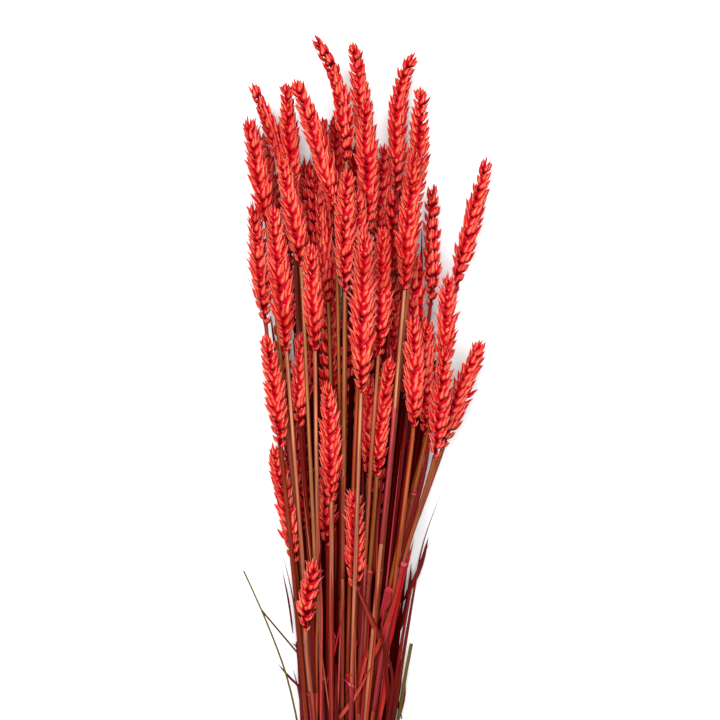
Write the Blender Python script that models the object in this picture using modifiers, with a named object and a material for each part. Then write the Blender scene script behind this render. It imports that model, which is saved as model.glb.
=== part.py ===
"""A bunch of dyed wheat lying on a table: ears on their cut straws, two bare straws, a few dry
leaf strips, and the twine that ties them. Blender 4.5, metres, +Z up.

The bunch lies along Y with its ears at +Y. Every strand is laid out level by level: it starts
in its own place inside the tie, fans out towards its own ear, and is then eased clear of its
neighbours, of the tie and of the table."""

import math

import bmesh
import bpy
import numpy as np

MM = 0.001

# The bunch, in millimetres. Height runs along the bunch, from a level in its waist.
CUT_END = -205.0
TIE_HEIGHT = -150.0
TIE_ACROSS = -7.0
TIE_INNER_RADIUS = 20.0
TWINE_DIAMETER = 2.4
TWINE_TURNS = 4
TIE_SEGMENTS = 24
BUTT_FLARE = 1.2
TABLE_GAP = 1.0
DEPTH_AT = ((CUT_END, 44.0), (TIE_HEIGHT, 38.0), (0.0, 60.0), (180.0, 88.0), (300.0, 96.0))

# Straw: thick and sheathed near the cut, thin just under the ear.
STRAW_RADIUS_LOW = 1.90
STRAW_RADIUS_HIGH = 1.25
STRAW_TAPER_FROM = 20.0
STRAW_TAPER_TO = 300.0
STEM_KNOT_STEP = 65.0
EAR_KNOTS = 6
BOW_ACROSS = 3.0
BOW_UP = 2.0
FAN_CURVE = 1.3
LIFT_LEAD = 1.15
TIP_CURVE = 1.25

# Ear: two rows of spikelets, left and right of the line that the rings follow.
EAR_HALF_WIDTH = 7.9
EAR_HALF_THICKNESS = 6.0
EAR_TIP_RADIUS = 0.7
NECK = 2.0
SPIKELET_STEP = 7.8
NOTCH_RISE = 1.2
TIP_RISE = 2.6
SIDES = 6

# How far a spikelet's middle and its two flanks stand out, at four levels of its height.
SPIKELET_LEVELS = {
    "tip": (1.00, 0.56),
    "notch": (0.42, 0.50),
    "belly": (0.74, 0.94),
    "shoulder": (0.84, 0.90),
}

LEAF_THICKNESS = 0.8
LEAF_TIP_WIDTH = 0.28
LEAF_TAPER_FROM = 0.55
LEAF_TWIST = 0.9
STRIP_TURN = 20

# Easing the strands apart.
SEED = 7
LEVEL_STEP = 5.0
CLEARANCE = 0.55
TIE_CLEARANCE = 0.35
ROUNDS = 700
STEP_SHARE = 0.9
LEAST_LOAD = 0.35
SMOOTH_UNTIL = 0.85
SMOOTHING = 0.22
RECALL = 0.004

# Each ear: tip across, tip height, base across, base height, depth from the table (0 to 1),
# width against the usual ear, and the turn of its two rows in degrees.
EARS = [
    (-26, 438, -1, 356, 0.50, 0.80, 50),
    (1, 434, 6, 350, 0.45, 0.95, 15),
    (-65, 409, -38, 337, 0.35, 0.80, 55),
    (-42, 408, -38, 331, 0.50, 1.00, 10),
    (-36, 408, -11, 323, 0.80, 1.05, 25),
    (-66, 385, -54, 317, 0.55, 0.95, 20),
    (-19, 388, -16, 321, 0.15, 0.90, 60),
    (-10, 389, -8, 315, 0.05, 0.95, 15),
    (42, 428, 29, 340, 0.28, 0.90, 25),
    (44, 404, 41, 321, 0.65, 1.00, 5),
    (8, 395, 14, 314, 0.65, 1.15, 15),
    (22, 371, 23, 299, 0.15, 0.95, 40),
    (87, 360, 65, 276, 0.45, 0.90, 25),
    (51, 344, 50, 267, 0.35, 0.85, 50),
    (40, 363, 31, 276, 0.80, 1.10, 15),
    (44, 301, 42, 240, 0.40, 0.90, 45),
    (61, 286, 55, 221, 0.70, 1.00, 20),
    (38, 259, 37, 190, 0.85, 1.10, 10),
    (50, 257, 49, 184, 0.65, 1.00, 25),
    (84, 245, 58, 177, 0.50, 0.90, 30),
    (59, 240, 54, 171, 0.95, 0.95, 15),
    (25, 234, 18, 159, 0.75, 1.00, 5),
    (3, 312, 3, 212, 1.00, 1.20, 10),
    (6, 339, 9, 267, 0.75, 1.00, 25),
    (-3, 351, -4, 275, 0.95, 1.00, 15),
    (-45, 360, -31, 291, 0.70, 1.05, 20),
    (-26, 305, -23, 238, 0.95, 1.00, 10),
    (-50, 328, -41, 238, 0.85, 1.10, 15),
    (-63, 331, -55, 255, 0.45, 0.95, 25),
    (-20, 339, -14, 267, 0.35, 1.00, 55),
    (-54, 248, -45, 177, 0.70, 0.95, 5),
    (-50, 179, -37, 104, 0.65, 0.95, 15),
    (-15, 218, -12, 144, 1.00, 1.05, 10),
    (-15, 176, -15, 114, 0.60, 0.90, 25),
    (-23, 107, -29, 62, 1.00, 0.85, 15),
    (1, 151, 3, 86, 0.90, 0.95, 20),
    (-31, 250, -32, 190, 0.60, 0.95, 25),
    (-41, 199, -38, 142, 0.35, 0.90, 50),
    (-9, 200, -9, 146, 0.30, 0.85, 40),
    (10, 219, 9, 158, 0.60, 0.95, 30),
    (19, 315, 17, 235, 0.80, 1.05, 15),
    (-4, 371, -1, 298, 0.10, 1.00, 20),
    (28, 352, 28, 275, 0.10, 1.00, 40),
    (-29, 361, -27, 290, 0.10, 1.00, 30),
    (8, 293, 10, 224, 0.25, 0.95, 45),
    (-16, 293, -14, 221, 0.25, 1.00, 15),
    (-59, 379, -50, 309, 0.10, 0.95, 30),
    (0, 262, 2, 190, 0.10, 1.00, 20),
    (28, 283, 28, 212, 0.15, 1.00, 30),
    (-28, 150, -26, 92, 0.25, 0.85, 35),
]

# Ears that lean over otherwise than the rest: a high power keeps the lean for the tip.
TIP_CURVES = {1: 3.0, 9: 7.0, 13: 1.0}

# Straws that fan out later than the rest.
FAN_CURVES = {17: 1.6, 19: 2.2, 20: 3.0, 21: 2.2}

# Each bare straw: tip across, tip height, bend across, bend height, depth, radius.
BARE_STRAWS = [
    (-69, 96, -36.5, 12, 0.45, 0.90),
    (38, 49, 31, 8, 0.35, 1.20),
]

# Each dry leaf strip: tip across, tip height, bend across, bend height, depth, width.
LEAF_STRIPS = [
    (-44, 107, -35, 70, 0.60, 2.2),
    (56, 144, 43, 105, 0.50, 2.2),
    (2, 93, 25, 30, 1.00, 3.0),
    (-69, 289, -54, 250, 0.30, 2.0),
    (50, 117, 37, 85, 0.75, 2.8),
    (18, 66, 22, 10, 0.90, 5.0),
    (-10, 40, -9, -20, 1.00, 4.6),
]


def straw_radius(height):
    """Straw radius at a height: constant low down, then thinner towards the ear."""
    return np.interp(
        height, [STRAW_TAPER_FROM, STRAW_TAPER_TO], [STRAW_RADIUS_LOW, STRAW_RADIUS_HIGH]
    )


def ear_width_at(share):
    """Width of an ear against its widest, from its base (0) to its tip (1)."""
    rise = 0.50 + 0.50 * np.minimum(share / 0.30, 1.0) ** 0.8
    fall = 1.0 - 0.52 * np.clip((share - 0.55) / 0.45, 0, 1) ** 1.6
    return rise * fall


def lowest_line(height):
    """How high the lowest straws lie: inside the tie they ride on its twine."""
    return np.interp(height, [CUT_END, TIE_HEIGHT, 0.0], [TABLE_GAP, TWINE_DIAMETER, TABLE_GAP])


def tie_centre_up():
    return TWINE_DIAMETER + TIE_INNER_RADIUS


class Strand:
    """One straw with its ear, one bare straw, or one leaf strip. The path holds an (across, up)
    point for each height."""

    def __init__(self, kind, name, tip, base, depth, size, turn=0.0):
        self.kind, self.name = kind, name
        self.tip, self.base = tip, base
        self.depth, self.size, self.turn = depth, size, math.radians(turn)
        self.tip_curve, self.fan_curve = TIP_CURVE, FAN_CURVE
        stem = np.arange(TIE_HEIGHT, base[1] - 0.4 * STEM_KNOT_STEP, STEM_KNOT_STEP)
        above = np.linspace(base[1], tip[1], EAR_KNOTS)
        self.heights = np.concatenate([[CUT_END], stem, above])
        self.path = np.zeros((len(self.heights), 2))

    def reach(self, height):
        """Radius of the circle that holds the strand at a height."""
        if self.kind == "leaf":
            return np.full_like(height, 0.5 * math.hypot(self.size, LEAF_THICKNESS))
        if self.kind == "bare":
            return np.full_like(height, self.size)
        share = np.clip((height - self.base[1]) / (self.tip[1] - self.base[1]), 0, 1)
        ear = EAR_HALF_WIDTH * self.size * ear_width_at(share)
        return np.where(height > self.base[1] - NECK, ear, straw_radius(height))

    def at(self, height):
        """The path's point at a height."""
        return [float(np.interp(height, self.heights, self.path[:, axis])) for axis in (0, 1)]


def all_strands():
    """Every strand of the bunch, from the three tables above."""
    strands = []
    for index, (tip_x, tip_y, base_x, base_y, depth, width, turn) in enumerate(EARS, 1):
        name = f"wheat_stalk_{index:02d}"
        strands.append(Strand("ear", name, (tip_x, tip_y), (base_x, base_y), depth, width, turn))
        strands[-1].tip_curve = TIP_CURVES.get(index, TIP_CURVE)
        strands[-1].fan_curve = FAN_CURVES.get(index, FAN_CURVE)
    for kind, name, rows in (("bare", "bare_straw", BARE_STRAWS), ("leaf", "dry_leaf", LEAF_STRIPS)):
        for index, (tip_x, tip_y, bend_x, bend_y, depth, size) in enumerate(rows, 1):
            ends = (tip_x, tip_y), (bend_x, bend_y)
            turn = STRIP_TURN * index
            strands.append(Strand(kind, f"{name}_{index}", *ends, depth, size, turn))
    return strands


def tie_places(count):
    """Places for the straws inside the tie: a hexagonal packing, filled from its middle."""
    pitch = 2 * STRAW_RADIUS_LOW + CLEARANCE
    reach = range(-8, 9)
    grid = [(pitch * (a + 0.5 * b), pitch * b * math.sqrt(0.75)) for a in reach for b in reach]
    grid.sort(key=lambda place: (round(math.hypot(*place), 3), math.atan2(place[1], place[0])))
    return grid[:count]


def slope(strand):
    """How steeply a strand leans across the bunch on its way from the tie to its ear."""
    return (strand.base[0] - TIE_ACROSS) / (strand.base[1] - TIE_HEIGHT)


def deal_places(strands):
    """Gives each strand the place in the tie that lies on its own side of the bunch."""
    places = sorted(tie_places(len(strands)), key=lambda place: place[0])
    order = sorted(strands, key=slope)
    columns = int(round(math.sqrt(len(strands))))
    for column in range(columns):
        low = column * len(strands) // columns
        high = (column + 1) * len(strands) // columns
        group = sorted(order[low:high], key=lambda strand: strand.depth)
        for strand, place in zip(group, sorted(places[low:high], key=lambda place: place[1])):
            strand.place = place


def first_path(strand, random):
    """A path from the place in the tie to the ear, nearly straight, with a slight bow."""
    start_x, start_z = TIE_ACROSS + strand.place[0], tie_centre_up() + strand.place[1]
    bow_x, bow_z = random.uniform(-1.0, 1.0, 2) * (BOW_ACROSS, BOW_UP)
    for knot, height in enumerate(strand.heights):
        low = lowest_line(height)
        lift = low + strand.depth * (np.interp(height, *zip(*DEPTH_AT)) - low)
        share = (height - TIE_HEIGHT) / (strand.base[1] - TIE_HEIGHT)
        if share < 0.0:
            butt_x, butt_z = BUTT_FLARE * strand.place[0], BUTT_FLARE * strand.place[1]
            strand.path[knot] = (TIE_ACROSS + butt_x, tie_centre_up() + butt_z)
        elif share <= 1.0:
            side = math.sin(math.pi * share)
            across = start_x + (strand.base[0] - start_x) * share ** strand.fan_curve
            up = start_z + (lift - start_z) * min(1.0, LIFT_LEAD * share) ** FAN_CURVE
            strand.path[knot] = (across + bow_x * side, up + bow_z * side)
        else:
            rise = (height - strand.base[1]) / (strand.tip[1] - strand.base[1])
            lean = (strand.tip[0] - strand.base[0]) * rise ** strand.tip_curve
            strand.path[knot] = (strand.base[0] + lean, lift)


def neighbour_push(place, radii, there):
    """How far, at each level, each strand has to move to clear its neighbours, and where."""
    count = len(place)
    pair = there[:, None, :] & there[None, :, :] & ~np.eye(count, dtype=bool)[:, :, None]
    need = radii[:, None, :] + radii[None, :, :] + CLEARANCE
    gap = place[:, None] - place[None, :]
    distance = np.sqrt((gap ** 2).sum(-1)) + 1e-6
    short = np.where(pair, np.maximum(need - distance, 0.0), 0.0)
    return (gap * (0.5 * short / distance)[..., None]).sum(1), short.max(1) > 0


def table_push(place, radii, there):
    """The lift that brings each strand up to the table."""
    sink = np.where(there, np.maximum(radii - place[..., 1], 0.0), 0.0)
    return np.stack([np.zeros_like(sink), sink], -1), sink > 0


def tie_push(place, radii, held):
    """The pull that brings each strand inside the twine."""
    arm = place - (TIE_ACROSS, tie_centre_up())
    spread = np.sqrt((arm ** 2).sum(-1)) + 1e-6
    room = TIE_INNER_RADIUS - TIE_CLEARANCE - radii
    over = np.where(held, np.maximum(spread - room, 0.0), 0.0)
    return -arm * (over / spread)[..., None], over > 0


def ease_apart(strands):
    """Moves the paths' knots until no two strands come nearer than the clearance."""
    levels = np.arange(CUT_END, max(strand.tip[1] for strand in strands) + LEVEL_STEP, LEVEL_STEP)
    most = max(len(strand.heights) for strand in strands)
    weights = np.zeros((len(strands), len(levels), most))
    start = np.zeros((len(strands), most, 2))
    for row, strand in enumerate(strands):
        start[row, : len(strand.path)] = strand.path
        for knot, basis in enumerate(np.eye(len(strand.heights))):
            weights[row, :, knot] = np.interp(levels, strand.heights, basis)
    there = np.array([levels <= strand.tip[1] + TIP_RISE for strand in strands])
    radii = np.array([strand.reach(levels) for strand in strands])
    weights *= there[:, :, None]
    load = weights.sum(1)[:, :, None] + 1e-9
    held = there & (np.abs(levels - TIE_HEIGHT) <= 0.5 * (TWINE_TURNS * TWINE_DIAMETER + LEVEL_STEP))
    moved = np.zeros_like(start)
    for turn in range(ROUNDS):
        calm = turn / ROUNDS
        place = np.einsum("ilk,ikc->ilc", weights, start + moved)
        pushes = (
            neighbour_push(place, radii, there),
            table_push(place, radii, there),
            tie_push(place, radii, held),
        )
        push = sum(amount for amount, _ in pushes)
        hit = np.any([where for _, where in pushes], axis=0).astype(float)
        active = np.einsum("ilk,il->ik", weights, hit)[..., None] + LEAST_LOAD
        moved += STEP_SHARE * np.einsum("ilk,ilc->ikc", weights, push) / np.minimum(active, load)
        if calm < SMOOTH_UNTIL:
            for row, strand in enumerate(strands):
                own = moved[row, : len(strand.heights)]
                own[1:-1] += SMOOTHING * (0.5 * (own[:-2] + own[2:]) - own[1:-1])
            moved *= 1.0 - RECALL * (1.0 - calm)
    for row, strand in enumerate(strands):
        strand.path = (start + moved)[row, : len(strand.heights)]


def round_spokes(radius):
    angles = [math.tau * k / SIDES for k in range(SIDES)]
    return [(radius * math.cos(angle), radius * math.sin(angle)) for angle in angles]


def turned(across, up, angle):
    c, s = math.cos(angle), math.sin(angle)
    return across * c - up * s, across * s + up * c


def ring(strand, height, spokes):
    """Points of one level ring: the path's point plus each spoke."""
    x, z = strand.at(height)
    return [(x + across, height, z + up) for across, up in spokes]


def ear_ring(strand, height, share, right, left):
    """A ring of an ear. right and left name the level that each row's spikelet is at."""
    reach = EAR_HALF_WIDTH * strand.size * float(ear_width_at(share))
    spokes = []
    for k in range(SIDES):
        angle = math.tau * k / SIDES
        middle, flank = SPIKELET_LEVELS[right if math.cos(angle) > 0 else left]
        size = reach * (middle if k % (SIDES // 2) == 0 else flank)
        thick = size * EAR_HALF_THICKNESS / EAR_HALF_WIDTH
        spokes.append(turned(size * math.cos(angle), thick * math.sin(angle), strand.turn))
    return ring(strand, height, spokes)


def stalk_rings(strand):
    """Rings of a straw and its ear, from the cut end up. Each spikelet ends in a raised point
    over a notch, and the two rows take turns."""
    neck = strand.base[1] - NECK
    stem = [height for height in strand.heights if height < neck] + [neck]
    rings = [ring(strand, height, round_spokes(straw_radius(height))) for height in stem]
    length = strand.tip[1] - strand.base[1]
    steps = int(round(length / SPIKELET_STEP))
    step = (length - TIP_RISE) / steps
    for k in range(1, steps + 1):
        height = strand.base[1] + k * step
        share = k * step / length
        on_right = k % 2 == 0
        rows = ("tip", "belly") if on_right else ("belly", "tip")
        points = ear_ring(strand, height, share, *rows)
        raised = 0 if on_right else SIDES // 2
        x, _, z = points[raised]
        points[raised] = (x, height + TIP_RISE, z)
        rings.append(points)
        if k < steps:
            rows = ("notch", "shoulder") if on_right else ("shoulder", "notch")
            rings.append(ear_ring(strand, height + NOTCH_RISE, share, *rows))
    rings.append(ring(strand, strand.tip[1], round_spokes(EAR_TIP_RADIUS)))
    return rings


def bare_rings(strand):
    return [ring(strand, height, round_spokes(strand.size)) for height in strand.heights]


def leaf_rings(strand):
    """Flat rings of a leaf strip that narrows to its tip and turns slowly as it rises."""
    rings = []
    low, high = strand.heights[0], strand.heights[-1]
    for height in strand.heights:
        share = (height - low) / (high - low)
        taper = max(0.0, share - LEAF_TAPER_FROM) / (1.0 - LEAF_TAPER_FROM)
        half = 0.5 * strand.size * (1.0 - (1.0 - LEAF_TIP_WIDTH) * taper)
        thick = 0.5 * LEAF_THICKNESS
        corners = [(half, thick), (-half, thick), (-half, -thick), (half, -thick)]
        turn = strand.turn + LEAF_TWIST * share
        rings.append(ring(strand, height, [turned(a, b, turn) for a, b in corners]))
    return rings


def loft(name, rings, shift, material):
    """A closed skin through rings of equal count, capped at both ends."""
    shape = bmesh.new()
    loops = [[shape.verts.new((np.array(point) + shift) * MM) for point in level] for level in rings]
    for low, high in zip(loops, loops[1:]):
        for k, corner in enumerate(low):
            following = (k + 1) % len(low)
            shape.faces.new((corner, low[following], high[following], high[k]))
    shape.faces.new(list(reversed(loops[0])))
    shape.faces.new(loops[-1])
    bmesh.ops.recalc_face_normals(shape, faces=shape.faces)
    bmesh.ops.triangulate(shape, faces=shape.faces)
    mesh = bpy.data.meshes.new(name)
    shape.to_mesh(mesh)
    shape.free()
    mesh.materials.append(material)
    return bpy.data.objects.new(name, mesh)


def twine_profile():
    """Section of the wound twine: flat inside, one round bulge for each turn outside."""
    radius = 0.5 * TWINE_DIAMETER
    half = TWINE_TURNS * radius
    points = [(TIE_INNER_RADIUS, -half), (TIE_INNER_RADIUS, half)]
    for turn in range(TWINE_TURNS):
        middle = half - (2 * turn + 1) * radius
        for degrees in (75, 25, -25, -75):
            lean = math.radians(degrees)
            out = TIE_INNER_RADIUS + radius * (1 + math.cos(lean))
            points.append((out, middle + radius * math.sin(lean)))
    return points


def make_tie(helpers, centre, material):
    """The twine: a turned band, with its knot and two short ends joined on top."""
    shape = bmesh.new()
    corners = [shape.verts.new((radius * MM, 0, along * MM)) for radius, along in twine_profile()]
    for a, b in zip(corners, corners[1:] + corners[:1]):
        shape.edges.new((a, b))
    mesh = bpy.data.meshes.new("twine_tie")
    shape.to_mesh(mesh)
    shape.free()
    mesh.materials.append(material)
    tie = bpy.data.objects.new("twine_tie", mesh)
    tie.location = centre * MM
    tie.rotation_euler = (-math.pi / 2, 0, 0)
    screw = tie.modifiers.new("turn", "SCREW")
    screw.steps = screw.render_steps = TIE_SEGMENTS
    screw.use_merge_vertices = True
    screw.merge_threshold = 0.0001

    top = TIE_INNER_RADIUS + 0.8 * TWINE_DIAMETER
    lumps = {
        "knot": ((0, 0, top + 0.9), (3.6, 4.4, 2.3), 0),
        "left_end": ((-7.5, -2.2, top + 0.2), (7.5, 1.1, 1.1), -12),
        "right_end": ((7.5, 1.6, top + 0.2), (7.5, 1.1, 1.1), 10),
    }
    for name, (place, half_size, lean) in lumps.items():
        bpy.ops.mesh.primitive_uv_sphere_add(segments=8, ring_count=6, radius=1.0)
        lump = bpy.context.object
        lump.name = name
        for vertex in lump.data.vertices:
            vertex.co = [value * half * MM for value, half in zip(vertex.co, half_size)]
        lump.rotation_euler = (0, math.radians(lean), math.radians(abs(lean)))
        lump.location = (centre + place) * MM
        lump.hide_render = True
        lump.display_type = "WIRE"
        bpy.context.collection.objects.unlink(lump)
        helpers.objects.link(lump)
        join = tie.modifiers.new("join " + name, "BOOLEAN")
        join.operation = "UNION"
        join.object = lump
    return tie


def make_material(name, colour, roughness):
    material = bpy.data.materials.new(name)
    material.use_nodes = True
    shader = material.node_tree.nodes["Principled BSDF"]
    shader.inputs["Base Color"].default_value = (*colour, 1.0)
    shader.inputs["Roughness"].default_value = roughness
    shader.inputs["Metallic"].default_value = 0.0
    return material


def main():
    for old in list(bpy.data.objects):
        bpy.data.objects.remove(old)
    bunch = bpy.data.collections.new("wheat_bunch")
    helpers = bpy.data.collections.new("helpers")
    bpy.context.scene.collection.children.link(bunch)
    bpy.context.scene.collection.children.link(helpers)

    random = np.random.default_rng(SEED)
    strands = all_strands()
    deal_places(strands)
    for strand in strands:
        first_path(strand, random)
    ease_apart(strands)

    make_rings = {"ear": stalk_rings, "bare": bare_rings, "leaf": leaf_rings}
    skins = {strand.name: make_rings[strand.kind](strand) for strand in strands}
    points = np.array([point for rings in skins.values() for level in rings for point in level])
    low, high = points.min(0), points.max(0)
    shift = np.array([-0.5 * (low[0] + high[0]), -0.5 * (low[1] + high[1]), -min(low[2], 0.0)])

    materials = {
        "ear": make_material("dyed_wheat", (0.74, 0.13, 0.09), 0.6),
        "bare": make_material("dyed_straw", (0.42, 0.20, 0.06), 0.5),
        "leaf": make_material("dyed_leaf", (0.40, 0.06, 0.03), 0.6),
    }
    for strand in strands:
        bunch.objects.link(loft(strand.name, skins[strand.name], shift, materials[strand.kind]))
    twine = make_material("twine", (0.50, 0.36, 0.20), 0.9)
    centre = shift + (TIE_ACROSS, TIE_HEIGHT, tie_centre_up())
    bunch.objects.link(make_tie(helpers, centre, twine))


main()
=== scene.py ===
# %% [markdown]
# # A bunch of dyed wheat
# Fifty ears of wheat on their cut straws, dyed coral red, dried, and tied near the cut ends.
# The bunch lies on a table, and we look down on it.
#
# The solids of the bunch are already made, to size and in place. Each one says where a stalk
# runs and how big its ear is. This lesson dresses them: it grows the husks of each ear, the
# sheaths of each straw and the strands of the twine along the same lines.

# %% Load the frame
import math

import bmesh
import bpy
import numpy as np
from mathutils import Matrix, Vector


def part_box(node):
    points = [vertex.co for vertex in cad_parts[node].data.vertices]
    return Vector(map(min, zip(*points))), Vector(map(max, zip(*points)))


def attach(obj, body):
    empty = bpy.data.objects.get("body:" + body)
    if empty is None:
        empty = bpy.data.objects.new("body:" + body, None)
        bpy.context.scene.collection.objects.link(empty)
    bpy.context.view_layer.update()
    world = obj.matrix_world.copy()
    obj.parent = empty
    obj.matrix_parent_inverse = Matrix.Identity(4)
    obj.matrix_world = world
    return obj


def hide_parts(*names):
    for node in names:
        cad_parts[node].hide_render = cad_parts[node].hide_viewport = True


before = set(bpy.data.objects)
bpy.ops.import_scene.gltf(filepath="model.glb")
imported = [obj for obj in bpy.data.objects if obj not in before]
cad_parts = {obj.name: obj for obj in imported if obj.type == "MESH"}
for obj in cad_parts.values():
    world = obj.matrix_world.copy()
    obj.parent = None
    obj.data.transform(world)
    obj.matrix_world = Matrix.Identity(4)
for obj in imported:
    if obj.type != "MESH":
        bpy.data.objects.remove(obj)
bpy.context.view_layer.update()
MM = 0.001
rng = np.random.default_rng(20)
print(len(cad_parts), "solids in the frame")

# %% [markdown]
# ## The camera
# The bunch is seen square on, from far away, with a long lens, so that its fan keeps its
# proportions. The tie and the cut ends lie below the lower edge of the view. The view is placed
# from the tie, because every straw starts there.

# %% Camera
VIEW_SIDE = 460.8 * MM
VIEW_FROM_TIE = Vector((12.1 * MM, 380.4 * MM, 0))
CAMERA_DISTANCE = 2.6
SENSOR = 36.0

tie_low, tie_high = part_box("twine_tie")
TIE_RADIUS = 0.5 * (tie_high.x - tie_low.x)
tie_middle = Vector((*(0.5 * (tie_low + tie_high)).xy, tie_low.z + TIE_RADIUS))
view_middle = tie_middle + VIEW_FROM_TIE
lens = bpy.data.cameras.new("above")
lens.sensor_width = SENSOR
lens.lens = SENSOR * CAMERA_DISTANCE / VIEW_SIDE
camera = bpy.data.objects.new("above", lens)
camera.location = (view_middle.x, view_middle.y, tie_middle.z + CAMERA_DISTANCE)
bpy.context.scene.collection.objects.link(camera)
bpy.context.scene.camera = camera
print("lens", round(lens.lens), "mm")

# %% [markdown]
# ## Where each strand runs
# A solid's skin is a stack of rings, each in a plane across the bunch. The middle of a ring is
# a point of the strand's own line. We read those points, round off the corners between them,
# and ask for a place and a direction anywhere along the line.
#
# A ring in an ear stands out further to one side, where its spikelet is, so the middles of
# neighbouring rings are averaged in pairs.

# %% Read the rings of a solid
STRAW_REACH = 2.3 * MM
STALK_SIDES = 6
STATION_STEP = 5 * MM
LEAST_STATIONS = 6
HEADING_REACH = 4 * MM
UP = Vector((0, 0, 1))


def rings_of(node):
    """The points of a solid, ring by ring along the bunch."""
    levels = {}
    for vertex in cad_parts[node].data.vertices:
        point = tuple(round(value, 6) for value in vertex.co)
        levels.setdefault(round(vertex.co.y, 5), set()).add(point)
    return [np.array(sorted(points)) for _, points in sorted(levels.items())]


def across(ring, middle):
    """Each point's offset from the middle, across the bunch."""
    return (ring - middle)[:, ::2]


def reach_of(offsets):
    """How far the furthest of some offsets reaches."""
    return float(np.linalg.norm(offsets, axis=1).max())


class Line:
    """A smooth line through points, each further along the bunch than the last."""

    def __init__(self, points, rounds=4):
        points = np.array(points)
        low, high = points[0, 1], points[-1, 1]
        count = max(LEAST_STATIONS, int((high - low) / STATION_STEP))
        self.heights = np.linspace(low, high, count)
        self.points = self.level_points(self.heights, points)
        for _ in range(rounds):
            middle = 0.5 * (self.points[:-2] + self.points[2:])
            self.points[1:-1] = 0.5 * (self.points[1:-1] + middle)
        self.low, self.high = low, high

    def level_points(self, heights, points=None):
        """The line's points at several heights along the bunch."""
        points = self.points if points is None else points
        return np.stack([np.interp(heights, points[:, 1], row) for row in points.T], -1)

    def at(self, height):
        """The line's point at a height along the bunch."""
        return Vector(self.level_points([height])[0])

    def heading(self, height):
        """The direction in which the line runs at a height."""
        above = self.at(min(height + HEADING_REACH, self.high))
        return (above - self.at(max(height - HEADING_REACH, self.low))).normalized()


# %% [markdown]
# A wheat stalk is one strand with two parts: a straw, and an ear with two rows of spikelets.
# The rows stand out from the line to its left and right, and the axis through both rows is the
# one along which the ear's points spread furthest.


# %% Read a stalk
class Stalk:
    """What a stalk's solid says: its line, its neck, its tip, its ear's reach and its rows."""

    def __init__(self, node):
        rings = rings_of(node)
        whole = [ring for ring in rings if len(ring) >= STALK_SIDES]
        middles = [ring.mean(0) for ring in whole]
        reaches = [reach_of(across(*pair)) for pair in zip(whole, middles)]
        ear_from = next((k for k, reach in enumerate(reaches) if reach > STRAW_REACH), len(whole))
        straw, ear = middles[:ear_from], middles[ear_from:]
        paired = [0.5 * (a + b) for a, b in zip(ear, ear[1:-1])]
        self.node = node
        self.line = Line(straw + paired + ear[-1:])
        self.low = straw[0][1]
        self.neck = straw[-1][1]
        self.tip = rings[-1][0][1]
        self.radius_low, self.radius_neck = reaches[0], reaches[ear_from - 1]
        of_ear = [ring for ring in rings if ring[0][1] > self.neck + MM]
        offsets = np.concatenate([across(ring, self.line.at(ring[0][1])) for ring in of_ear])
        self.reach = reach_of(offsets)
        axis = np.linalg.eigh(offsets.T @ offsets)[1][:, -1]
        self.rows = Vector((axis[0], 0.0, axis[1])).normalized()

    def straw_radius(self, height):
        share = (height - self.low) / (self.neck - self.low)
        return self.radius_low + (self.radius_neck - self.radius_low) * min(max(share, 0.0), 1.0)


def nodes_named(start):
    return [node for node in sorted(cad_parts) if node.startswith(start)]


stalks = [Stalk(node) for node in nodes_named("wheat_stalk")]
lengths = [round((stalk.tip - stalk.neck) / MM) for stalk in stalks]
print(len(stalks), "stalks, ears from", min(lengths), "to", max(lengths), "mm long")

# %% [markdown]
# ## Sweeping a ring
# Straws, sheaths, husks and twine all have the same idea behind them: a small ring is drawn out
# along a line while it turns and changes size. In bmesh that is a circle whose edges are
# extruded once for each station. Every vertex remembers its own place round the unit circle, so
# a station is only a matrix that puts the circle where it belongs.
#
# The same memory goes into the finished mesh as the attribute `grain`: two numbers round the
# strand and one along it. The materials draw their lengthwise streaks on it.


# %% Sweep helpers
LEAF_THINNESS = 0.09
LEAF_GUTTER = 0.30


def sweep(bm, stations, alongs, sides, tint=0.5, shape=None):
    """Draws a ring through the stations, which are matrices, and closes both ends."""
    part = bmesh.new()
    grain = part.verts.layers.float_vector.new("grain")
    tints = part.verts.layers.float.new("tint")
    ring = bmesh.ops.create_circle(part, segments=sides, radius=1.0)["verts"]
    for vertex in ring:
        vertex[grain] = vertex.co
    if shape:
        shape(ring, grain)
    edges = list(part.edges)
    for step, (station, along) in enumerate(zip(stations, alongs)):
        if step:
            made = bmesh.ops.extrude_edge_only(part, edges=edges)["geom"]
            ring = [item for item in made if isinstance(item, bmesh.types.BMVert)]
            edges = [item for item in made if isinstance(item, bmesh.types.BMEdge)]
            edges = [edge for edge in edges if edge.is_boundary]
        for vertex in ring:
            place = vertex[grain]
            vertex.co = station @ Vector((place.x, place.y, 0.0))
            vertex[grain] = (place.x, place.y, along)
            vertex[tints] = tint
    bmesh.ops.holes_fill(part, edges=part.edges, sides=sides)
    bmesh.ops.recalc_face_normals(part, faces=part.faces)
    for face in part.faces:
        face.smooth = True
    add_part(bm, part)


def add_part(bm, part):
    """Copies a small bmesh into a larger one, and frees it."""
    mesh = bpy.data.meshes.new("part")
    part.to_mesh(mesh)
    part.free()
    bm.from_mesh(mesh)
    bpy.data.meshes.remove(mesh)


def upright(point, heading, side, size=1.0):
    """A station at a point: local Z along the heading, local X as near to side as it can be."""
    z = heading.normalized()
    x = (side - z * side.dot(z)).normalized()
    y = z.cross(x)
    turn = Matrix((x, y, z)).transposed().to_4x4()
    return Matrix.Translation(point) @ turn @ Matrix.Scale(size, 4)


def flat_section(ring, grain):
    """Turns a circle into a leaf's section: wide, thin and bent into a shallow gutter."""
    for vertex in ring:
        x, y, _ = vertex.co
        vertex[grain] = (x, LEAF_THINNESS * y + LEAF_GUTTER * x * x, 0.0)


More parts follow.
